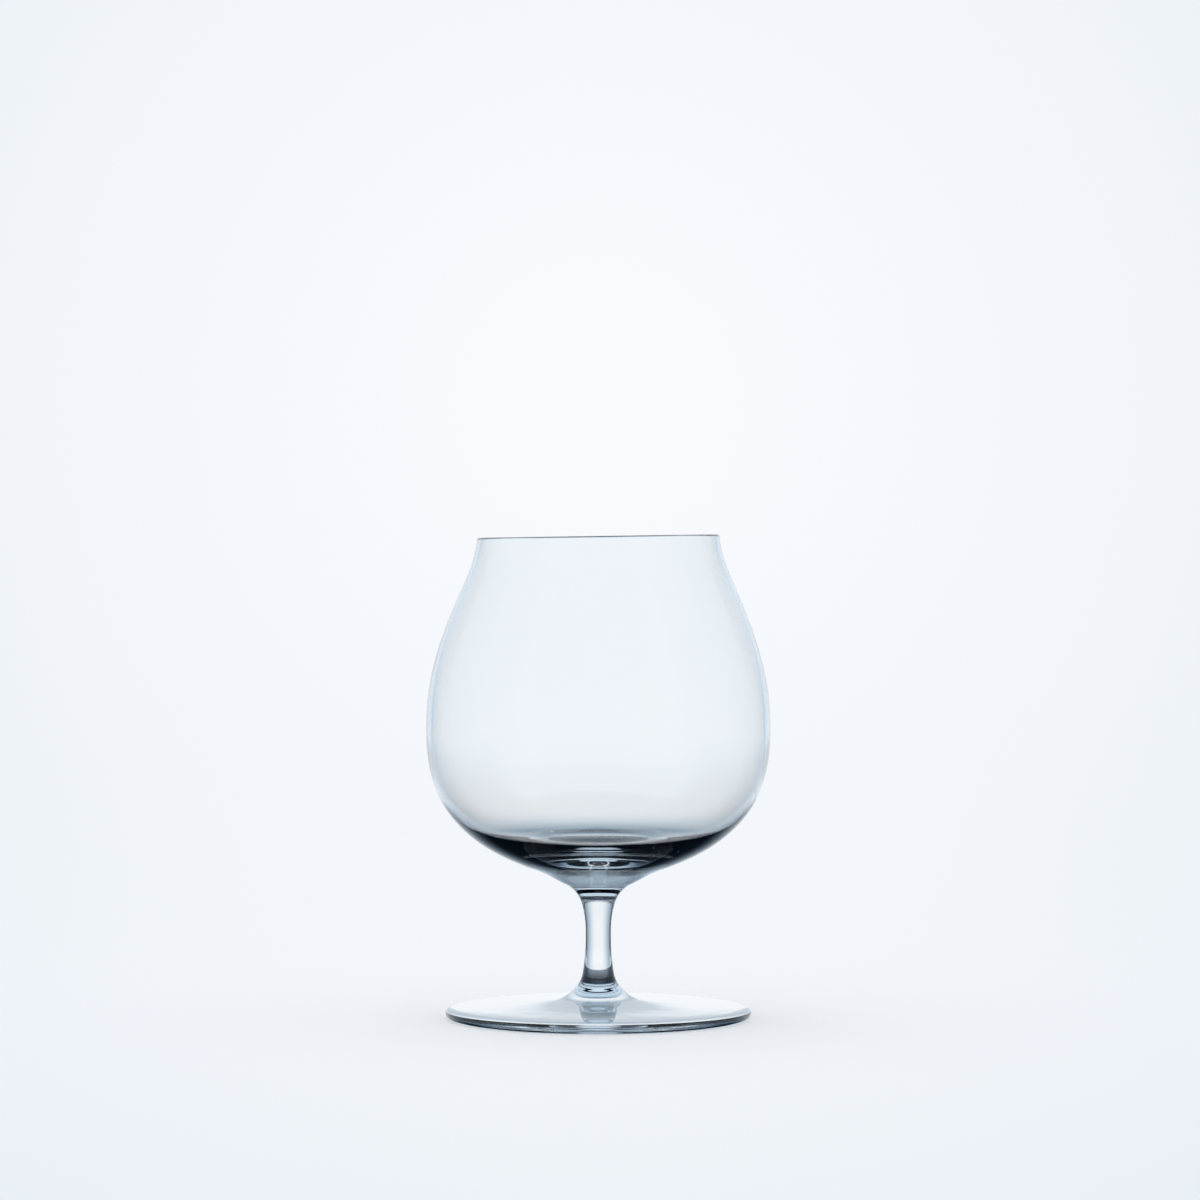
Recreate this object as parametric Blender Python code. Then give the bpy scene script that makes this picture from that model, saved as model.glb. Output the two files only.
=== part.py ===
# A stemmed tasting glass: a blown bowl, a drawn stem and a pressed foot, fused one above the other.
# Lengths are in metres and +Z is up. The origin is under the middle of the foot, on the table.

import math
from collections import namedtuple

import bmesh
import bpy
from mathutils import Vector

MM = 0.001

# Heights, each from one weld face to the next
FOOT_HEIGHT = 6.5 * MM  # table to the weld under the stem
STEM_LENGTH = 22.8 * MM  # foot weld to bowl weld
BOWL_HEIGHT = 75.7 * MM  # bowl weld to the top of the rim

# Welds
BOWL_WELD_DIAMETER = 14.5 * MM
BOWL_WELD_SLOPE = 24.3  # degrees below level, where the bowl runs into the stem
FOOT_WELD_DIAMETER = 10.6 * MM
FOOT_WELD_SLOPE = 47.6  # degrees below level, where the stem runs into the foot
WELD_GAP = 0.3 * MM  # kept open at each weld, so that the pieces stay separate solids

# Bowl, outside
RIM_DIAMETER = 52.8 * MM
RIM_LEAN = 5.7  # degrees from upright, at the rim
SHOULDER_DROP = 13.9 * MM  # rim down to the steepest part of the shoulder
SHOULDER_FLARE = 4.5 * MM  # how far the shoulder stands out past the rim
SHOULDER_LEAN = 22.8
BELLY_DIAMETER = 74.9 * MM
BELLY_RISE = 34.0 * MM  # bowl weld up to the widest part
HEEL_DROP = 20.9 * MM  # widest part down to where the bowl turns under
HEEL_INSET = 6.86 * MM  # how far the heel lies inside the widest part
HEEL_SLOPE = 46.9  # degrees below level
KEEL_RISE = 2.66 * MM  # bowl weld up to the flattest part of the underside
KEEL_REACH = 5.32 * MM  # how far that part lies outside the weld
KEEL_SLOPE = 20.3

# Bowl, walls
RIM_WALL = 1.0 * MM
BELLY_WALL = 1.35 * MM
HEEL_WALL = 0.75 * MM
HEEL_WALL_TURN = 1.7  # degrees by which the inside of the heel is flatter than the outside
BASE_THICKNESS = 6.0 * MM  # bowl weld up to the middle of the inside
FLOOR_DIAMETER = 23.2 * MM  # the dished part of the inside
FLOOR_DISH = 1.2 * MM  # how far the middle of the inside lies below its edge
FLOOR_SLOPE = 17.5  # at the edge of the dished part

# Stem
WAIST_DIAMETER = 5.54 * MM
UPPER_FLARE_LENGTH = 4.3 * MM
UPPER_FLARE_DIAMETER = 7.16 * MM  # where the flare to the bowl begins
UPPER_FLARE_LEAN = 15.7
LOWER_FLARE_LENGTH = 5.9 * MM
LOWER_FLARE_DIAMETER = 6.14 * MM  # where the flare to the foot begins
LOWER_FLARE_LEAN = 7.4
LOWER_BELL_RISE = 1.1 * MM  # foot weld up to the bell at the stem's end
LOWER_BELL_DIAMETER = 8.6 * MM
LOWER_BELL_LEAN = 32.0

# Foot
FOOT_DIAMETER = 66.6 * MM
FOOT_EDGE = 2.6 * MM  # thickness just inside the rounded edge
EDGE_ROUND = 2.4 * MM  # width of the rounded edge
BOSS_DIAMETER = 17.6 * MM
BOSS_DROP = 2.2 * MM  # foot weld down to the rim of the boss
BOSS_SLOPE = 7.0
FOOT_SLOPE = 4.0
BEARING_INSET = 1.9 * MM  # foot's edge in to the face that it stands on
BEARING_WIDTH = 4.4 * MM
HOLLOW_DEPTH = 1.6 * MM  # table up to the middle of the underside
HOLLOW_SLOPE = 5.0  # where the underside leaves the standing face

# Fineness
WIDE_SEGMENTS = 64  # flats round the bowl and the foot
STEM_SEGMENTS = 36  # flats round the stem
RUN_STEPS = 4  # straight steps in each curved run of an outline
ROUND_STEPS = 6  # straight steps in the fire-polished rim
HANDLE = 0.36  # share of a run that its end directions reach along
SMOOTH_ANGLE = 35.0  # degrees between faces, above which an edge stays sharp
POLE_MERGE = 0.01 * MM

GLASS_COLOUR = (0.93, 0.96, 0.98, 1.0)
GLASS_ROUGHNESS = 0.02
GLASS_IOR = 1.5

# A point of an outline and the direction in which the outline passes it: 0 is outwards and 90 is up
Knot = namedtuple("Knot", "radius height heading")


def clear_scene():
    for old in list(bpy.data.objects):
        bpy.data.objects.remove(old)


def direction(heading):
    return Vector((math.cos(math.radians(heading)), math.sin(math.radians(heading))))


def curved_run(start, end, steps=RUN_STEPS):
    # One cubic curve from knot to knot, without its first point.
    first = Vector((start.radius, start.height))
    last = Vector((end.radius, end.height))
    reach = HANDLE * (last - first).length
    leave = first + reach * direction(start.heading)
    arrive = last - reach * direction(end.heading)
    points = []
    for step in range(1, steps + 1):
        t = step / steps
        s = 1 - t
        points.append(s ** 3 * first + 3 * s * s * t * leave + 3 * s * t * t * arrive + t ** 3 * last)
    return points


def outline(knots):
    points = [Vector((knots[0].radius, knots[0].height))]
    for start, end in zip(knots, knots[1:]):
        points += curved_run(start, end)
    return points


def turned_piece(name, points, height, segments):
    # Turns an outline, given as radius and height, once round the axis.
    shape = bmesh.new()
    corners = [shape.verts.new((point.x, 0, point.y)) for point in points]
    edges = [shape.edges.new(pair) for pair in zip(corners, corners[1:])]
    bmesh.ops.spin(
        shape,
        geom=corners + edges,
        cent=(0, 0, 0),
        axis=(0, 0, 1),
        angle=math.tau,
        steps=segments,
        use_merge=True,
    )
    bmesh.ops.remove_doubles(shape, verts=shape.verts, dist=POLE_MERGE)
    bmesh.ops.recalc_face_normals(shape, faces=shape.faces)
    mesh = bpy.data.meshes.new(name)
    shape.to_mesh(mesh)
    shape.free()
    mesh.shade_smooth()
    mesh.set_sharp_from_angle(angle=math.radians(SMOOTH_ANGLE))
    mesh.materials.append(glass_material(name))
    piece = bpy.data.objects.new(name, mesh)
    piece.location.z = height
    bpy.context.scene.collection.objects.link(piece)
    return piece


def glass_material(name):
    material = bpy.data.materials.new(f"{name}_glass")
    material.use_nodes = True
    shader = material.node_tree.nodes["Principled BSDF"]
    shader.inputs["Base Color"].default_value = GLASS_COLOUR
    shader.inputs["Metallic"].default_value = 0.0
    shader.inputs["Roughness"].default_value = GLASS_ROUGHNESS
    shader.inputs["IOR"].default_value = GLASS_IOR
    shader.inputs["Transmission Weight"].default_value = 1.0
    return material


def inside_of(knot, wall, turn=0.0):
    # The knot a wall's thickness to the right of an outline that runs down.
    across = direction(knot.heading - 90)
    return Knot(knot.radius + wall * across.x, knot.height + wall * across.y, knot.heading + turn)


def make_bowl():
    lip = RIM_WALL / 2
    rim = Knot(RIM_DIAMETER / 2, BOWL_HEIGHT - lip, RIM_LEAN - 90)
    shoulder = Knot(rim.radius + SHOULDER_FLARE, BOWL_HEIGHT - SHOULDER_DROP, SHOULDER_LEAN - 90)
    belly = Knot(BELLY_DIAMETER / 2, BELLY_RISE, -90)
    heel = Knot(belly.radius - HEEL_INSET, BELLY_RISE - HEEL_DROP, HEEL_SLOPE - 180)
    weld = Knot(BOWL_WELD_DIAMETER / 2, 0, BOWL_WELD_SLOPE - 180)
    keel = Knot(weld.radius + KEEL_REACH, KEEL_RISE, KEEL_SLOPE - 180)
    outside = outline([rim, shoulder, belly, heel, keel, weld])

    shoulder_wall = (RIM_WALL + BELLY_WALL) / 2
    inside = outline(
        [
            Knot(rim.radius - RIM_WALL, rim.height, rim.heading),
            inside_of(shoulder, shoulder_wall),
            inside_of(belly, BELLY_WALL),
            inside_of(heel, HEEL_WALL, -HEEL_WALL_TURN),
            Knot(FLOOR_DIAMETER / 2, BASE_THICKNESS + FLOOR_DISH, FLOOR_SLOPE - 180),
            Knot(0, BASE_THICKNESS, 180),
        ]
    )
    polish = []
    for step in range(1, ROUND_STEPS):
        turn = math.pi * (1 - step / ROUND_STEPS)
        polish.append(Vector((rim.radius - lip + lip * math.cos(turn), rim.height + lip * math.sin(turn))))
    points = inside[::-1] + polish + outside + [Vector((0, 0))]
    return turned_piece("bowl", points, FOOT_HEIGHT + STEM_LENGTH, WIDE_SEGMENTS)


def make_stem():
    top = STEM_LENGTH - WELD_GAP
    upper = STEM_LENGTH - UPPER_FLARE_LENGTH
    knots = [
        Knot(BOWL_WELD_DIAMETER / 2, top, BOWL_WELD_SLOPE - 180),
        Knot(UPPER_FLARE_DIAMETER / 2, upper, -90 - UPPER_FLARE_LEAN),
        Knot(WAIST_DIAMETER / 2, (upper + LOWER_FLARE_LENGTH) / 2, -90),
        Knot(LOWER_FLARE_DIAMETER / 2, LOWER_FLARE_LENGTH, LOWER_FLARE_LEAN - 90),
        Knot(LOWER_BELL_DIAMETER / 2, LOWER_BELL_RISE, LOWER_BELL_LEAN - 90),
        Knot(FOOT_WELD_DIAMETER / 2, WELD_GAP, -FOOT_WELD_SLOPE),
    ]
    points = [Vector((0, top))] + outline(knots) + [Vector((0, WELD_GAP))]
    return turned_piece("stem", points, FOOT_HEIGHT, STEM_SEGMENTS)


def make_foot():
    radius = FOOT_DIAMETER / 2
    bearing = radius - BEARING_INSET
    hollow = bearing - BEARING_WIDTH
    upper = outline(
        [
            Knot(FOOT_WELD_DIAMETER / 2, FOOT_HEIGHT, -FOOT_WELD_SLOPE),
            Knot(BOSS_DIAMETER / 2, FOOT_HEIGHT - BOSS_DROP, -BOSS_SLOPE),
            Knot(radius - EDGE_ROUND, FOOT_EDGE, -FOOT_SLOPE),
            Knot(radius, FOOT_EDGE / 2, -90),
            Knot(bearing, 0, 180),
        ]
    )
    under = outline([Knot(hollow, 0, 180 - HOLLOW_SLOPE), Knot(0, HOLLOW_DEPTH, 180)])
    points = [Vector((0, FOOT_HEIGHT))] + upper + under
    return turned_piece("foot", points, 0, WIDE_SEGMENTS)


def main():
    clear_scene()
    glass = bpy.data.objects.new("stemmed_glass", None)
    bpy.context.scene.collection.objects.link(glass)
    for piece in (make_foot(), make_stem(), make_bowl()):
        piece.parent = glass


main()
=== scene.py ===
import math

import bpy
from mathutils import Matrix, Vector


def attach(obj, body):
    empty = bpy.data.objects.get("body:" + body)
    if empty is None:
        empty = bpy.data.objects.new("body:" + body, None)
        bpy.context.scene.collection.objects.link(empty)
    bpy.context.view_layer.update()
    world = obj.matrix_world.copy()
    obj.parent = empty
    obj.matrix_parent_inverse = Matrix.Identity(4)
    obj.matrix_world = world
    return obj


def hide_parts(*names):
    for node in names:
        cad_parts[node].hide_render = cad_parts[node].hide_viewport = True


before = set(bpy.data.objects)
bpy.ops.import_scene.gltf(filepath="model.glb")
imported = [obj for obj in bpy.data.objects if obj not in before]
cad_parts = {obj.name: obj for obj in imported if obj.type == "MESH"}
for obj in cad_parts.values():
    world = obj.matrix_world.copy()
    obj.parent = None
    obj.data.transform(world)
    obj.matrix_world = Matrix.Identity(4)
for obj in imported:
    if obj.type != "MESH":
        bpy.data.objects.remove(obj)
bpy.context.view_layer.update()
print("frame loaded:", ", ".join(sorted(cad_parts)))

mm = 0.001
scene = bpy.context.scene
scene.view_settings.view_transform = "Standard"


# small helpers for node trees
def addNode(tree, kind, **settings):
    node = tree.nodes.new(kind)
    for key, value in settings.items():
        setattr(node, key, value)
    return node


def plug(tree, source, target):
    # an output is linked, and a number or colour is set on the socket itself
    if isinstance(source, bpy.types.NodeSocket):
        tree.links.new(source, target)
    else:
        target.default_value = source


def maths(tree, operation, first, second=None):
    node = addNode(tree, "ShaderNodeMath", operation=operation)
    plug(tree, first, node.inputs[0])
    if second is not None:
        plug(tree, second, node.inputs[1])
    return node.outputs[0]


def product(tree, first, *others):
    for other in others:
        first = maths(tree, "MULTIPLY", first, other)
    return first


def vectorMaths(tree, operation, first, second=None, give="Vector"):
    node = addNode(tree, "ShaderNodeVectorMath", operation=operation)
    plug(tree, first, node.inputs[0])
    if second is not None:
        plug(tree, second, node.inputs[1])
    return node.outputs[give]


def separate(tree, vector):
    node = addNode(tree, "ShaderNodeSeparateXYZ")
    plug(tree, vector, node.inputs["Vector"])
    return node.outputs


def fade(tree, value, start, end, low=0.0, high=1.0):
    node = addNode(tree, "ShaderNodeMapRange", interpolation_type="SMOOTHSTEP")
    for socket, number in zip(node.inputs, (value, start, end, low, high)):
        plug(tree, number, socket)
    return node.outputs[0]


def pick(tree, choice, first, second):
    node = addNode(tree, "ShaderNodeMix", data_type="FLOAT")
    plug(tree, choice, node.inputs[0])
    plug(tree, first, node.inputs[2])
    plug(tree, second, node.inputs[3])
    return node.outputs[0]


def blend(tree, factor, first, second):
    node = addNode(tree, "ShaderNodeMix", data_type="RGBA")
    plug(tree, factor, node.inputs[0])
    plug(tree, first, node.inputs[6])
    plug(tree, second, node.inputs[7])
    return node.outputs[2]


def ramp(tree, value, stops):
    node = addNode(tree, "ShaderNodeValToRGB")
    plug(tree, value, node.inputs[0])
    elements = node.color_ramp.elements
    while len(elements) < len(stops):
        elements.new(1.0)
    for element, (place, colour) in zip(elements, stops):
        element.position = place
        element.color = (*colour, 1.0)
    return node.outputs[0]


def noise(tree, place, scale, detail=2.0):
    node = addNode(tree, "ShaderNodeTexNoise")
    plug(tree, place, node.inputs["Vector"])
    plug(tree, scale, node.inputs["Scale"])
    plug(tree, detail, node.inputs["Detail"])
    return node.outputs[0]


def setMaterial(tree, shape, material, chosen=True):
    node = addNode(tree, "GeometryNodeSetMaterial")
    plug(tree, shape, node.inputs["Geometry"])
    plug(tree, chosen, node.inputs["Selection"])
    plug(tree, material, node.inputs["Material"])
    return node.outputs["Geometry"]


# turning: a profile curve is swept once round the upright axis
turning = {
    "segments": 160,
    "axisGap": 1.0 * mm,  # radius of the ring that the profile is swept along
    "steps": 20,  # straight steps in each run of a profile
    "reach": 0.36,  # share of a run that its ends' directions reach along
    "merge": 0.001 * mm,  # points this close, as at the poles, become one
    "tilted": (80 * mm, 105 * mm),  # heights between which the rim's tilt grows
    "corner": math.radians(20),  # an edge that turns more than this stays sharp
    "inWeld": 0.001 * mm,  # a face this close to a weld's height lies in it
    "restingFacing": -0.98,  # a face's direction upwards, below which it can rest on the table
}


def turningTree():
    tree = bpy.data.node_groups.new("turnedGlass", "GeometryNodeTree")
    sockets = (
        ("Profile", "Geometry"),
        ("Segments", "Int"),
        ("Axis Gap", "Float"),
        ("Weld Below", "Float"),
        ("Weld Above", "Float"),
        ("Rim Tilt", "Float"),
        ("Glass", "Material"),
        ("Weld", "Material"),
        ("Resting Below", "Float"),
        ("Resting", "Material"),
    )
    for name, kind in sockets:
        tree.interface.new_socket(name, in_out="INPUT", socket_type="NodeSocket" + kind)
    tree.interface.new_socket("Piece", in_out="OUTPUT", socket_type="NodeSocketGeometry")
    given = addNode(tree, "NodeGroupInput").outputs
    result = addNode(tree, "NodeGroupOutput").inputs["Piece"]

    ring = addNode(tree, "GeometryNodeCurvePrimitiveCircle")
    plug(tree, given["Segments"], ring.inputs["Resolution"])
    plug(tree, given["Axis Gap"], ring.inputs["Radius"])
    level = addNode(tree, "GeometryNodeSetCurveNormal", mode="Z_UP")
    plug(tree, ring.outputs["Curve"], level.inputs["Curve"])
    inwards = addNode(tree, "ShaderNodeCombineXYZ")
    plug(tree, maths(tree, "MULTIPLY", given["Axis Gap"], -1.0), inwards.inputs["X"])
    moved = addNode(tree, "GeometryNodeTransform")
    plug(tree, given["Profile"], moved.inputs["Geometry"])
    plug(tree, inwards.outputs["Vector"], moved.inputs["Translation"])
    sweep = addNode(tree, "GeometryNodeCurveToMesh")
    plug(tree, level.outputs["Curve"], sweep.inputs["Curve"])
    plug(tree, moved.outputs["Geometry"], sweep.inputs["Profile Curve"])
    poles = addNode(tree, "GeometryNodeMergeByDistance")
    plug(tree, sweep.outputs["Mesh"], poles.inputs["Geometry"])
    plug(tree, turning["merge"], poles.inputs["Distance"])

    # the rim was cut a little out of level, which dies out down the shoulder
    place = separate(tree, addNode(tree, "GeometryNodeInputPosition").outputs["Position"])
    high = fade(tree, place["Z"], *turning["tilted"])
    lift = addNode(tree, "ShaderNodeCombineXYZ")
    plug(tree, product(tree, place["X"], given["Rim Tilt"], high), lift.inputs["Z"])
    tilted = addNode(tree, "GeometryNodeSetPosition")
    plug(tree, poles.outputs["Geometry"], tilted.inputs["Geometry"])
    plug(tree, lift.outputs["Vector"], tilted.inputs["Offset"])

    # smooth all over, but for the corner round a weld face
    angle = addNode(tree, "GeometryNodeInputMeshEdgeAngle").outputs["Unsigned Angle"]
    corner = addNode(tree, "FunctionNodeCompare", operation="GREATER_THAN")
    plug(tree, angle, corner.inputs["A"])
    plug(tree, turning["corner"], corner.inputs["B"])
    smooth = addNode(tree, "GeometryNodeSetShadeSmooth", domain="FACE")
    plug(tree, tilted.outputs["Geometry"], smooth.inputs["Geometry"])
    creased = addNode(tree, "GeometryNodeSetShadeSmooth", domain="EDGE")
    plug(tree, smooth.outputs["Geometry"], creased.inputs["Geometry"])
    plug(tree, corner.outputs["Result"], creased.inputs["Selection"])
    plug(tree, False, creased.inputs["Shade Smooth"])

    # faces that lie in a weld, and faces under the foot that look down
    weldOffs = [
        maths(tree, "ABSOLUTE", maths(tree, "SUBTRACT", place["Z"], given[weld]))
        for weld in ("Weld Below", "Weld Above")
    ]
    inWeld = maths(tree, "LESS_THAN", maths(tree, "MINIMUM", *weldOffs), turning["inWeld"])
    facing = separate(tree, addNode(tree, "GeometryNodeInputNormal").outputs["Normal"])
    rests = product(
        tree,
        maths(tree, "LESS_THAN", facing["Z"], turning["restingFacing"]),
        maths(tree, "LESS_THAN", place["Z"], given["Resting Below"]),
    )

    real = addNode(tree, "GeometryNodeRealizeInstances")
    plug(tree, creased.outputs["Geometry"], real.inputs["Geometry"])
    glazed = setMaterial(tree, real.outputs["Geometry"], given["Glass"])
    welded = setMaterial(tree, glazed, given["Weld"], inWeld)
    plug(tree, setMaterial(tree, welded, given["Resting"], rests), result)
    return tree


turnedGlass = turningTree()


def heading(degrees):
    # 0 is away from the axis and 90 is up; the sweep takes a profile's y downwards
    return Vector((math.cos(math.radians(degrees)), -math.sin(math.radians(degrees)), 0))


def profileCurve(name, knots):
    # a knot has its radius and height, its direction on arriving, a turn where it leaves another
    # way, and its handles' reach, with onward where the leaving one differs
    curve = bpy.data.curves.new(name, "CURVE")
    curve.dimensions = "3D"
    curve.resolution_u = turning["steps"]
    spline = curve.splines.new("BEZIER")
    spline.bezier_points.add(len(knots) - 1)
    spots = [Vector((knot["at"][0], -knot["at"][1], 0)) * mm for knot in knots]
    for i, (knot, point) in enumerate(zip(knots, spline.bezier_points)):
        before = (spots[i] - spots[max(i - 1, 0)]).length
        after = (spots[min(i + 1, len(knots) - 1)] - spots[i]).length
        reach = knot.get("reach", turning["reach"])
        onward = knot.get("onward", reach)
        point.co = spots[i]
        point.handle_left_type = point.handle_right_type = "FREE"
        point.handle_left = spots[i] - heading(knot["way"]) * before * reach
        point.handle_right = spots[i] + heading(knot.get("turn", knot["way"])) * after * onward
    return curve


def turnedPiece(name, sizes, glass, weld, resting):
    curve = profileCurve(name + "Profile", sizes["profile"])
    maker = bpy.data.objects.new(name + "Profile", curve)
    scene.collection.objects.link(maker)
    turn = maker.modifiers.new("turning", "NODES")
    turn.node_group = turnedGlass
    inputs = {
        "Segments": turning["segments"],
        "Axis Gap": turning["axisGap"],
        "Weld Below": sizes["weldBelow"] * mm,
        "Weld Above": sizes["weldAbove"] * mm,
        "Rim Tilt": sizes.get("rimTilt", 0.0),
        "Glass": glass,
        "Weld": weld,
        "Resting Below": sizes.get("restingBelow", 0.0) * mm,
        "Resting": resting,
    }
    for item in turnedGlass.interface.items_tree:
        if item.in_out == "INPUT" and item.name in inputs:
            turn[item.identifier] = inputs[item.name]
    finished = maker.evaluated_get(bpy.context.evaluated_depsgraph_get())
    shape = bpy.data.meshes.new_from_object(finished)
    shape.name = name
    maker.modifiers.remove(turn)
    bpy.data.objects.remove(maker)
    bpy.data.curves.remove(curve)
    piece = bpy.data.objects.new(name, shape)
    scene.collection.objects.link(piece)
    low, high = (
        [round(end(v.co[k] for v in shape.vertices) / mm, 2) for k in range(3)] for end in (min, max)
    )
    print(name, "turned:", len(shape.polygons), "faces,", low, "to", high, "mm")
    return piece


def stippled(tree, place, height, grain, tint, rough, normal):
    # a matt, pitted disc inside a radius and above a height, with painted shade darkening its pits
    flat = vectorMaths(tree, "MULTIPLY", place, (1, 1, 0))
    radius = vectorMaths(tree, "LENGTH", flat, give="Value")
    inDish = product(
        tree,
        fade(tree, radius, *grain["radii"], 1, 0),
        maths(tree, "GREATER_THAN", height, grain["above"]),
    )
    pits = product(tree, inDish, fade(tree, noise(tree, place, grain["scale"]), *grain["pits"]))
    # painted shade: the tint is blended towards a dark colour in the pits
    tint = blend(tree, pits, tint, grain["pitShade"])
    rough = maths(tree, "ADD", rough, product(tree, inDish, grain["rough"]))
    pitted = addNode(tree, "ShaderNodeBump")
    plug(tree, grain["depth"] * mm, pitted.inputs["Distance"])
    plug(tree, pits, pitted.inputs["Height"])
    plug(tree, normal, pitted.inputs["Normal"])
    return tint, rough, pitted.outputs["Normal"]


def clearGlass(name, look):
    material = bpy.data.materials.new(name)
    material.use_nodes = True
    tree = material.node_tree
    shader = tree.nodes["Principled BSDF"]
    shader.inputs["IOR"].default_value = look["ior"]
    shader.inputs["Transmission Weight"].default_value = 1.0
    place = addNode(tree, "ShaderNodeTexCoord").outputs["Object"]
    height = separate(tree, place)["Z"]

    # the tint drifts a little through the melt
    drift = noise(tree, place, look["driftScale"])
    tint = blend(tree, drift, look["tint"], look["tintDeep"])

    # seeds and dust, most of them low down
    cells = addNode(tree, "ShaderNodeTexVoronoi")
    plug(tree, place, cells.inputs["Vector"])
    plug(tree, look["speckScale"], cells.inputs["Scale"])
    chance = addNode(tree, "ShaderNodeSeparateColor")
    plug(tree, cells.outputs["Color"], chance.inputs[0])
    specks = product(
        tree,
        fade(tree, cells.outputs["Distance"], *look["speckSize"], 1, 0),
        maths(tree, "GREATER_THAN", chance.outputs[0], 1 - look["speckShare"]),
        fade(tree, height, *look["speckHeights"], 1, look["speckLeft"]),
    )
    rough = product(tree, specks, look["speckRough"])

    # waves left by blowing, drawing or pressing
    stretch = addNode(tree, "ShaderNodeMapping")
    plug(tree, place, stretch.inputs["Vector"])
    plug(tree, look["waveStretch"], stretch.inputs["Scale"])
    wave = addNode(tree, "ShaderNodeBump")
    plug(tree, look["waveDepth"] * mm, wave.inputs["Distance"])
    plug(tree, noise(tree, stretch.outputs["Vector"], look["waveScale"]), wave.inputs["Height"])
    normal = wave.outputs["Normal"]

    if "stipple" in look:
        tint, rough, normal = stippled(tree, place, height, look["stipple"], tint, rough, normal)
    plug(tree, tint, shader.inputs["Base Color"])
    plug(tree, rough, shader.inputs["Roughness"])
    plug(tree, normal, shader.inputs["Normal"])
    return material


def openWeld(name):
    # fused glass has no face at a weld, so that face isn't seen
    material = bpy.data.materials.new(name)
    material.use_nodes = True
    shader = material.node_tree.nodes["Principled BSDF"]
    shader.inputs["Alpha"].default_value = 0.0
    return material


# clear glass that all three pieces start from
cleanGlass = {
    "ior": 1.5,
    "tint": (0.985, 0.994, 1.0, 1),
    "tintDeep": (0.965, 0.986, 0.998, 1),
    "driftScale": 25,
    "speckScale": 420,
    "speckSize": (0.06, 0.16),  # of a cell, from a speck's core to its edge
    "speckShare": 0.12,  # of the cells that hold a speck
    "speckHeights": (40 * mm, 56 * mm),
    "speckLeft": 0.1,  # of the specks above those heights
    "speckRough": 0.3,
    "waveStretch": (1, 1, 0.4),
    "waveScale": 70,
    "waveDepth": 0.02,
}

# bowl: radii and heights in mm from the table, round the inside, over the lip and down the outside
bowl = {
    "profile": [
        {"at": (0, 35.32), "way": 0, "reach": 0.49},  # middle of the floor
        {"at": (11.6, 36.55), "way": 14.5, "turn": 20.8, "reach": 0.34, "onward": 0.26},  # its edge
        {"at": (30.05, 42.91), "way": 45.2, "reach": 0.5, "onward": 0.43},  # heel
        {"at": (36.1, 63.6), "way": 90},  # belly
        {"at": (29.85, 91.1), "way": 112.8},  # shoulder
        {"at": (25.4, 104.5), "way": 95.7, "turn": 90},
        {"at": (25.9, 105.0), "way": 0},  # top of the lip
        {"at": (26.4, 104.5), "way": -90, "turn": -84.3},
        {"at": (30.93, 91.1), "way": -67.2},  # shoulder, outside
        {"at": (37.45, 63.3), "way": -90},
        {"at": (30.6, 42.4), "way": -133.1},
        {"at": (12.57, 31.96), "way": -159.7},  # flattest part of the underside
        {"at": (7.24, 29.3), "way": -155.7, "turn": 180},  # weld
        {"at": (0, 29.3), "way": 180},
    ],
    "weldBelow": 29.3,
    "weldAbove": 29.3,
    "rimTilt": 0.0144,  # rise for each unit across, to the right
    "glass": dict(cleanGlass, stipple={  # a matt disc in the middle of the floor, its pits darkened with painted shade
        "radii": (11.0 * mm, 11.3 * mm),
        "above": 33 * mm,
        "scale": 2200,
        "pits": (0.3, 0.6),
        # painted shade for the pits, not a colour of the glass
        "pitShade": (0.10, 0.10, 0.105, 1),
        "rough": 0.3,
        "depth": 0.04,
    }),
}

# stem: down from the bowl's weld, past the waist, to the foot's weld
stem = {
    "profile": [
        {"at": (0, 29.3), "way": 0},
        {"at": (7.24, 29.3), "way": 0, "turn": -155.7},
        {"at": (3.58, 25.0), "way": -105.7},
        {"at": (2.77, 18.7), "way": -90},  # waist
        {"at": (3.07, 12.4), "way": -82.6},
        {"at": (4.3, 7.6), "way": -58},
        {"at": (5.3, 6.5), "way": -47.6, "turn": 180},
        {"at": (0, 6.5), "way": 180},
    ],
    "weldBelow": 6.5,
    "weldAbove": 29.3,
    "glass": cleanGlass,
}

# foot: down from its weld, out over the boss, round the edge and back along the hollow
foot = {
    "profile": [
        {"at": (0, 6.5), "way": 0},
        {"at": (5.3, 6.5), "way": 0, "turn": -47.6},
        {"at": (8.8, 4.3), "way": -7},  # rim of the boss
        {"at": (30.9, 2.6), "way": -4},
        {"at": (33.3, 1.3), "way": -90},  # edge
        {"at": (31.4, 0), "way": 180},
        {"at": (27, 0), "way": 180, "turn": 175},
        {"at": (0, 1.6), "way": 180},  # top of the hollow
    ],
    "weldBelow": 6.5,
    "weldAbove": 6.5,
    "restingBelow": 3.0,
    "restingIor": 1.1,  # light goes on into the table almost unbent
    "glass": dict(cleanGlass, waveScale=55, waveDepth=0.14),  # pressed, so it waves more
}

weldGlass = openWeld("weldGlass")
restingGlass = clearGlass("restingGlass", dict(cleanGlass, ior=foot["restingIor"]))
for node, sizes in (("bowl", bowl), ("stem", stem), ("foot", foot)):
    glass = clearGlass(node + "Clear", sizes["glass"])
    piece = turnedPiece(node + "Glass", sizes, glass, weldGlass, restingGlass)
    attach(piece, "root")
    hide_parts(node)

# backdrop: brightest straight behind the glass, falling off to the sides
backdrop = {
    "centre": (0, 1, 0.03),
    "reach": 0.25,
    "tones": [(0.0, (0.956, 0.965, 1.0)), (0.5, (0.88, 0.915, 0.95)), (1.0, (0.77, 0.825, 0.893))],
}


def backdropColour(tree, towards):
    off = vectorMaths(tree, "DISTANCE", towards, backdrop["centre"], give="Value")
    return ramp(tree, maths(tree, "DIVIDE", off, backdrop["reach"]), backdrop["tones"])


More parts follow.
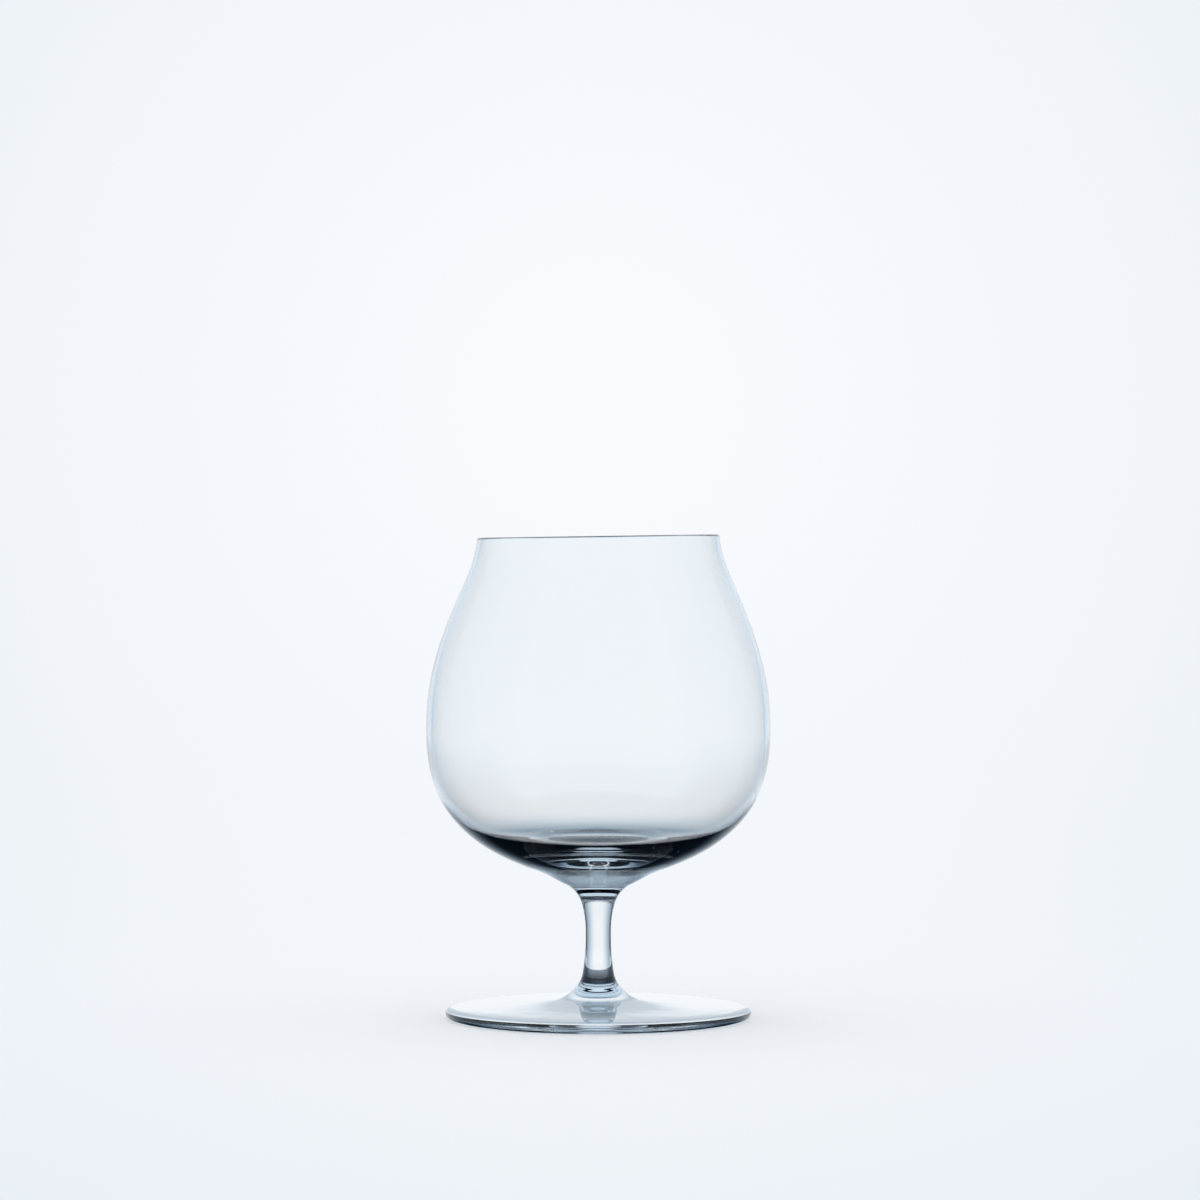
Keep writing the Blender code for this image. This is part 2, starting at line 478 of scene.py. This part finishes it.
# what the glass sees: bright behind, pale round the table and dark overhead; sides are degrees
# from straight behind and heights are degrees above level, each pair from where a change
# starts to where it ends, and a share is what is left of the light past it
studio = {
    "outer": {  # reflected by the outside
        "level": 0.965,
        "side": (22.1, 65.4),
        "sideLevel": 0.63,
        "front": (95, 130),
        "frontLevel": 0.85,
        "low": (-34, -6),
        "lowShare": 0.04,
    },
    "thin": {  # through the bowl's walls
        "level": 0.965,
        "low": (-42.5, -6.1),
        "lowShare": 0.18,
        "lowSide": (34, 41),
        "lowEnd": (-48, -42),
        "deep": (-32.7, -28.3),
        "deepShare": 0.11,
        "high": (2.3, 17.6),
        "behindTop": 0.18,
        "sideTop": 0.12,
        "frontTop": 0.85,
        "topSide": (12.2, 52.3),
        "overhead": (30, 42),
        "overheadShare": 0.2,
        "topFront": (84.1, 116.2),
        "frontEnd": (44, 56),
    },
    "solid": {  # straight through the stem and the foot, between black flags
        "crossings": 2,  # in and out
        "panel": 0.955,
        "panelSide": (6, 50),
        "panelEdge": 0.36,
        "flagStart": (46, 56),
        "panelHigh": (20, 40),
        "low": (-32, -14),
        "lowShare": 0.45,
        "below": (-42.5, -38),
        "belowLevel": 0.9,
        "room": 0.9,
        "flagEnd": (74, 88),
        "table": 0.93,
        "tableSide": (34, 41),
        "tableHigh": (-18, -12),
    },
    "turned": {  # reflected inside the glass before it comes out
        "level": 0.86,
        "side": (20, 42),
        "turns": (1, 3),  # between which the sides go from once to more
        "sideOnce": 0.15,
        "sideMore": 0.06,
        "frontSide": (85.6, 116.9),
        "frontShare": 0.3,
        "high": (19.1, 32.2),
        "highShare": 0.94,
        "low": (-31.8, -6.3),
        "lowShare": 0.61,
        "deep": (-60, -40),
        "deepShare": 0.1,
    },
    "depthTint": (0.84, 0.95, 1.04),  # thick glass looks bluer after a turn in it
    "tones": [  # what a share of the light looks like
        (0.0, (0.0005, 0.001, 0.003)),
        (0.04, (0.014, 0.026, 0.046)),
        (0.19, (0.137, 0.187, 0.246)),
        (0.48, (0.384, 0.483, 0.572)),
        (0.815, (0.745, 0.815, 0.871)),
        (0.955, (0.93, 0.955, 0.985)),
        (1.0, (0.98, 0.99, 1.0)),
    ],
    "room": (1.0, 1.0, 1.0, 1.0),
    "halfCount": 0.5,  # tells one whole count from the next
}


def outerLight(tree, side, rise):
    look = studio["outer"]
    behind = fade(tree, side, *look["side"], look["level"], look["sideLevel"])
    front = fade(tree, side, *look["front"], 0, look["frontLevel"])
    low = fade(tree, rise, *look["low"], look["lowShare"], 1)
    return product(tree, maths(tree, "MAXIMUM", behind, front), low)


def thinLight(tree, side, rise, mirrored):
    look = studio["thin"]
    low = product(
        tree,
        fade(tree, rise, *look["low"], look["lowShare"], 1),
        fade(tree, rise, *look["deep"], look["deepShare"], 1),
    )
    lowEnd = maths(tree, "MAXIMUM", fade(tree, rise, *look["lowEnd"]), mirrored)
    lowSide = product(tree, fade(tree, side, *look["lowSide"]), lowEnd)
    top = product(
        tree,
        fade(tree, side, *look["topSide"], look["behindTop"], look["sideTop"]),
        fade(tree, rise, *look["overhead"], 1, look["overheadShare"]),
    )
    front = product(
        tree,
        fade(tree, side, *look["topFront"], 0, look["frontTop"]),
        fade(tree, rise, *look["frontEnd"], 1, look["overheadShare"]),
    )
    high = fade(tree, rise, *look["high"], 1, maths(tree, "MAXIMUM", top, front))
    return product(tree, maths(tree, "MAXIMUM", low, lowSide), high, look["level"])


def solidLight(tree, side, rise):
    look = studio["solid"]
    panel = product(
        tree,
        fade(tree, side, *look["panelSide"], look["panel"], look["panelEdge"]),
        fade(tree, side, *look["flagStart"], 1, 0),
        fade(tree, rise, *look["panelHigh"], 1, 0),
        fade(tree, rise, *look["low"], look["lowShare"], 1),
    )
    below = fade(tree, rise, *look["below"], look["belowLevel"], 0)
    room = fade(tree, side, *look["flagEnd"], 0, look["room"])
    table = product(
        tree,
        fade(tree, side, *look["tableSide"], 0, look["table"]),
        fade(tree, rise, *look["tableHigh"], 1, 0),
    )
    brightest = panel
    for other in (below, room, table):
        brightest = maths(tree, "MAXIMUM", brightest, other)
    return brightest


def turnedLight(tree, side, rise, turns):
    look = studio["turned"]
    beside = fade(tree, turns, *look["turns"], look["sideOnce"], look["sideMore"])
    return product(
        tree,
        fade(tree, side, *look["side"], look["level"], beside),
        fade(tree, side, *look["frontSide"], 1, look["frontShare"]),
        fade(tree, rise, *look["high"], 1, look["highShare"]),
        fade(tree, rise, *look["low"], look["lowShare"], 1),
        fade(tree, rise, *look["deep"], look["deepShare"], 1),
    )


def isCount(tree, value, count):
    off = maths(tree, "ABSOLUTE", maths(tree, "SUBTRACT", value, count))
    return maths(tree, "LESS_THAN", off, studio["halfCount"])


def glassSees(tree, towards, path):
    look = separate(tree, towards)
    rise = maths(tree, "DEGREES", maths(tree, "ARCSINE", look["Z"]))
    across = maths(tree, "ABSOLUTE", look["X"])
    side = maths(tree, "DEGREES", maths(tree, "ARCTAN2", across, look["Y"]))

    # a ray that went in and out once only passed solid glass, and a turn in it counts as glossy
    crossings = path["Transmission Depth"]
    outside = isCount(tree, crossings, 0)
    once = isCount(tree, crossings, studio["solid"]["crossings"])
    turns = path["Glossy Depth"]
    mirrored = maths(tree, "GREATER_THAN", turns, studio["halfCount"])
    level = pick(tree, mirrored, solidLight(tree, side, rise), turnedLight(tree, side, rise, turns))
    level = pick(tree, once, thinLight(tree, side, rise, mirrored), level)
    level = pick(tree, outside, level, outerLight(tree, side, rise))
    seen = ramp(tree, level, studio["tones"])
    bluer = vectorMaths(tree, "MULTIPLY", seen, studio["depthTint"])
    return blend(tree, product(tree, mirrored, once), seen, bluer)


def makeStudio():
    world = bpy.data.worlds.new("studio")
    scene.world = world
    world.use_nodes = True
    tree = world.node_tree
    tree.nodes.clear()
    towards = addNode(tree, "ShaderNodeTexCoord").outputs["Generated"]
    path = addNode(tree, "ShaderNodeLightPath").outputs
    glassRay = product(
        tree,
        maths(tree, "MAXIMUM", path["Is Glossy Ray"], path["Is Transmission Ray"]),
        isCount(tree, path["Diffuse Depth"], 0),
    )
    colour = blend(tree, glassRay, studio["room"], glassSees(tree, towards, path))
    colour = blend(tree, path["Is Camera Ray"], colour, backdropColour(tree, towards))
    light = addNode(tree, "ShaderNodeBackground")
    plug(tree, colour, light.inputs["Color"])
    plug(tree, light.outputs[0], addNode(tree, "ShaderNodeOutputWorld").inputs["Surface"])
    print("studio lit:", len(tree.nodes), "nodes")


makeStudio()

# floor: pale and lit by the room near the glass, with the backdrop's glow taking over further away
floorLook = {
    "half": 40.0,  # middle to edge
    "drop": 0.01 * mm,
    "colour": (0.87, 0.90, 0.945, 1),
    "glow": 0.08,  # metres from the glass at which glow and lit floor are half each
    "glowFrom": (0, -0.97, 0.105),  # place from which floor and backdrop run into each other
}


def paleFloor():
    material = bpy.data.materials.new("paleFloor")
    material.use_nodes = True
    tree = material.node_tree
    tree.nodes.clear()
    place = addNode(tree, "ShaderNodeTexCoord").outputs["Object"]
    pale = addNode(tree, "ShaderNodeBsdfDiffuse")
    plug(tree, floorLook["colour"], pale.inputs["Color"])
    towards = vectorMaths(tree, "NORMALIZE", vectorMaths(tree, "SUBTRACT", place, floorLook["glowFrom"]))
    glow = addNode(tree, "ShaderNodeEmission")
    plug(tree, backdropColour(tree, towards), glow.inputs["Color"])
    far = vectorMaths(tree, "LENGTH", place, give="Value")
    share = maths(tree, "DIVIDE", far, maths(tree, "ADD", far, floorLook["glow"]))
    path = addNode(tree, "ShaderNodeLightPath").outputs
    mix = addNode(tree, "ShaderNodeMixShader")
    plug(tree, product(tree, share, path["Is Camera Ray"]), mix.inputs[0])
    plug(tree, pale.outputs[0], mix.inputs[1])
    plug(tree, glow.outputs[0], mix.inputs[2])
    plug(tree, mix.outputs[0], addNode(tree, "ShaderNodeOutputMaterial").inputs["Surface"])
    return material


def makeFloor():
    half = floorLook["half"]
    mesh = bpy.data.meshes.new("floor")
    corners = [(-half, -half), (half, -half), (half, half), (-half, half)]
    mesh.from_pydata([(x, y, -floorLook["drop"]) for x, y in corners], [], [(0, 1, 2, 3)])
    mesh.materials.append(paleFloor())
    floor = bpy.data.objects.new("floor", mesh)
    floor.visible_transmission = False
    floor.visible_glossy = False
    scene.collection.objects.link(floor)
    print("floor laid:", 2 * half, "m across")


makeFloor()

# lamp: one soft overhead light for the shadow on the floor
lamp = {"power": 0.6, "size": 0.5, "at": (-0.1, 0.25, 0.9)}


def makeLamp():
    light = bpy.data.lights.new("softLamp", "AREA")
    light.energy = lamp["power"]
    light.size = lamp["size"]
    holder = bpy.data.objects.new("softLamp", light)
    holder.location = lamp["at"]
    holder.rotation_euler = (-Vector(lamp["at"])).to_track_quat("-Z", "Y").to_euler()
    holder.visible_glossy = False
    holder.visible_transmission = False
    holder.visible_camera = False
    scene.collection.objects.link(holder)
    print("lamp hung:", lamp["power"], "W at", lamp["at"])


makeLamp()

# camera: level with the rim, about a metre away
camera = {
    "at": (0, -0.97, 0.105),
    "sensor": 36,
    "lens": 133.86,
    "down": 0.8218,  # degrees
    "shift": 1.7 / 1200,  # 1.7 pixels, as a share of the picture's width
}


def makeCamera():
    data = bpy.data.cameras.new("camera")
    data.sensor_width = camera["sensor"]
    data.lens = camera["lens"]
    data.shift_x = camera["shift"]
    holder = bpy.data.objects.new("camera", data)
    holder.location = camera["at"]
    holder.rotation_euler = (math.radians(90 - camera["down"]), 0, 0)
    scene.collection.objects.link(holder)
    scene.camera = holder
    print("camera set:", camera["lens"], "mm lens")


makeCamera()
